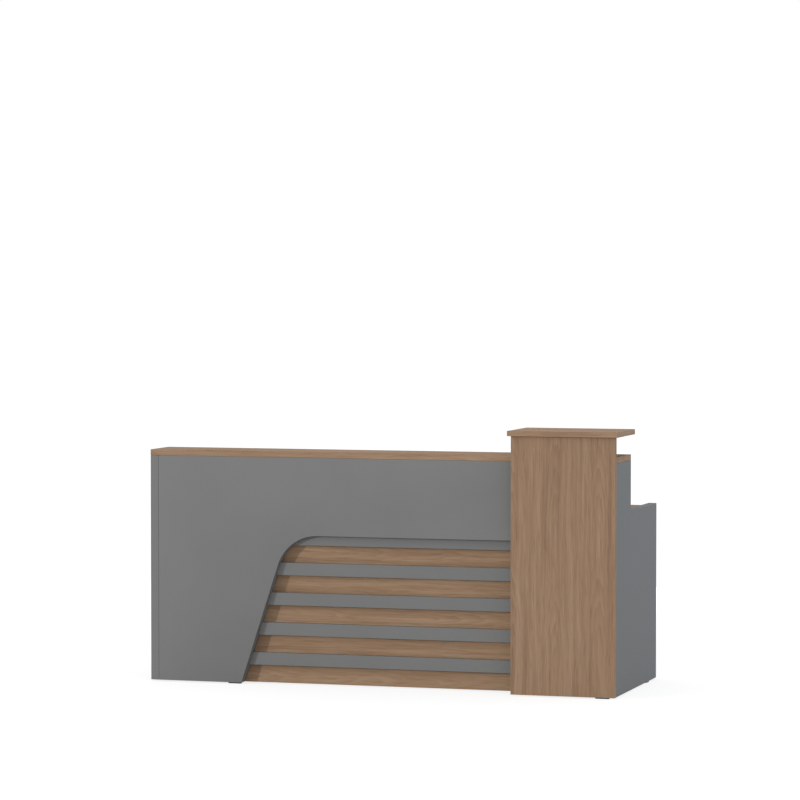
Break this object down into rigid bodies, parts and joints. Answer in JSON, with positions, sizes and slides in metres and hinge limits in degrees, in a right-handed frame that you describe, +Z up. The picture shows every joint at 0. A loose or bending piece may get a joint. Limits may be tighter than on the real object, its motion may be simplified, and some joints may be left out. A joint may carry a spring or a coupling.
{
  "type": "reception desk",
  "caption": "Reception desk: grey panels, wood-grain counter, tall feature panel with raised top, slatted front recess, staff side with worktop, drawers and cupboard.",
  "frame": {"origin": "on the floor, at the centre of the overall footprint", "axes": "+X along the desk to the visitor's right, +Y from the visitor's side to the staff side, +Z up"},
  "size_m": [2.073, 0.779, 1.1],
  "materials": {
    "grey_melamine": "mid grey matt melamine facing on board",
    "wood_grain_melamine": "walnut-brown wood-grain melamine facing on board, satin",
    "black_plastic": "moulded, matt",
    "coated_steel": "grey powder coat",
    "zinc_steel": "bright zinc plate",
    "handle_steel": "satin brushed"
  },
  "bodies": {
    "carcass": {"cable_grommet": "black_plastic", "counter_top": "wood_grain_melamine", "cupboard_base": "grey_melamine", "cupboard_partition": "grey_melamine", "cupboard_shelf": "grey_melamine", "divider_1": "grey_melamine", "divider_2": "grey_melamine", "drawer_1_rail_left": "zinc_steel", "drawer_1_rail_right": "zinc_steel", "drawer_2_rail_left": "zinc_steel", "drawer_2_rail_right": "zinc_steel", "drawer_3_rail_left": "zinc_steel", "drawer_3_rail_right": "zinc_steel", "drawer_bay_base": "grey_melamine", "drawer_partition": "grey_melamine", "feature_panel": "wood_grain_melamine", "feature_rail": "grey_melamine", "front_packer": "grey_melamine", "front_panel": "grey_melamine", "glide_cupboard_partition": "black_plastic", "glide_drawer_partition": "black_plastic", "glide_feature_left": "black_plastic", "glide_feature_right": "black_plastic", "glide_front": "black_plastic", "glide_left_front": "black_plastic", "glide_left_rear": "black_plastic", "glide_right_rear": "black_plastic", "hinge_lower_frame_leaf": "zinc_steel", "hinge_upper_frame_leaf": "zinc_steel", "left_end_panel": "grey_melamine", "raised_top": "wood_grain_melamine", "raised_top_upright_left": "grey_melamine", "raised_top_upright_right": "grey_melamine", "recess_back_board": "wood_grain_melamine", "recess_strip_1": "grey_melamine", "recess_strip_2": "grey_melamine", "recess_strip_3": "grey_melamine", "recess_strip_4": "grey_melamine", "recess_strip_5": "grey_melamine", "right_end_panel": "grey_melamine", "worktop": "wood_grain_melamine"},
    "drawer_1": {"drawer_1_body": "coated_steel", "drawer_1_front": "grey_melamine", "drawer_1_handle": "handle_steel", "drawer_1_runner_left": "zinc_steel", "drawer_1_runner_right": "zinc_steel"},
    "drawer_2": {"drawer_2_body": "coated_steel", "drawer_2_front": "grey_melamine", "drawer_2_handle": "handle_steel", "drawer_2_runner_left": "zinc_steel", "drawer_2_runner_right": "zinc_steel"},
    "drawer_3": {"drawer_3_body": "coated_steel", "drawer_3_front": "grey_melamine", "drawer_3_handle": "handle_steel", "drawer_3_runner_left": "zinc_steel", "drawer_3_runner_right": "zinc_steel"},
    "cupboard_door": {"cupboard_door": "grey_melamine", "cupboard_handle": "handle_steel", "hinge_lower_door_leaf": "zinc_steel", "hinge_upper_door_leaf": "zinc_steel"}
  },
  "joints": [
    {"name": "drawer_1_slide", "type": "slide", "parent": "carcass", "child": "drawer_1", "axis": [0, 1, 0], "range_m": [0, 0.375]},
    {"name": "drawer_2_slide", "type": "slide", "parent": "carcass", "child": "drawer_2", "axis": [0, 1, 0], "range_m": [0, 0.375]},
    {"name": "drawer_3_slide", "type": "slide", "parent": "carcass", "child": "drawer_3", "axis": [0, 1, 0], "range_m": [0, 0.375]},
    {"name": "cupboard_door_hinge", "type": "hinge", "parent": "carcass", "child": "cupboard_door", "pos_m": [0.58895, 0.353, 0.4015], "axis": [0, 0, 1], "range_deg": [0, 170]}
  ]
}
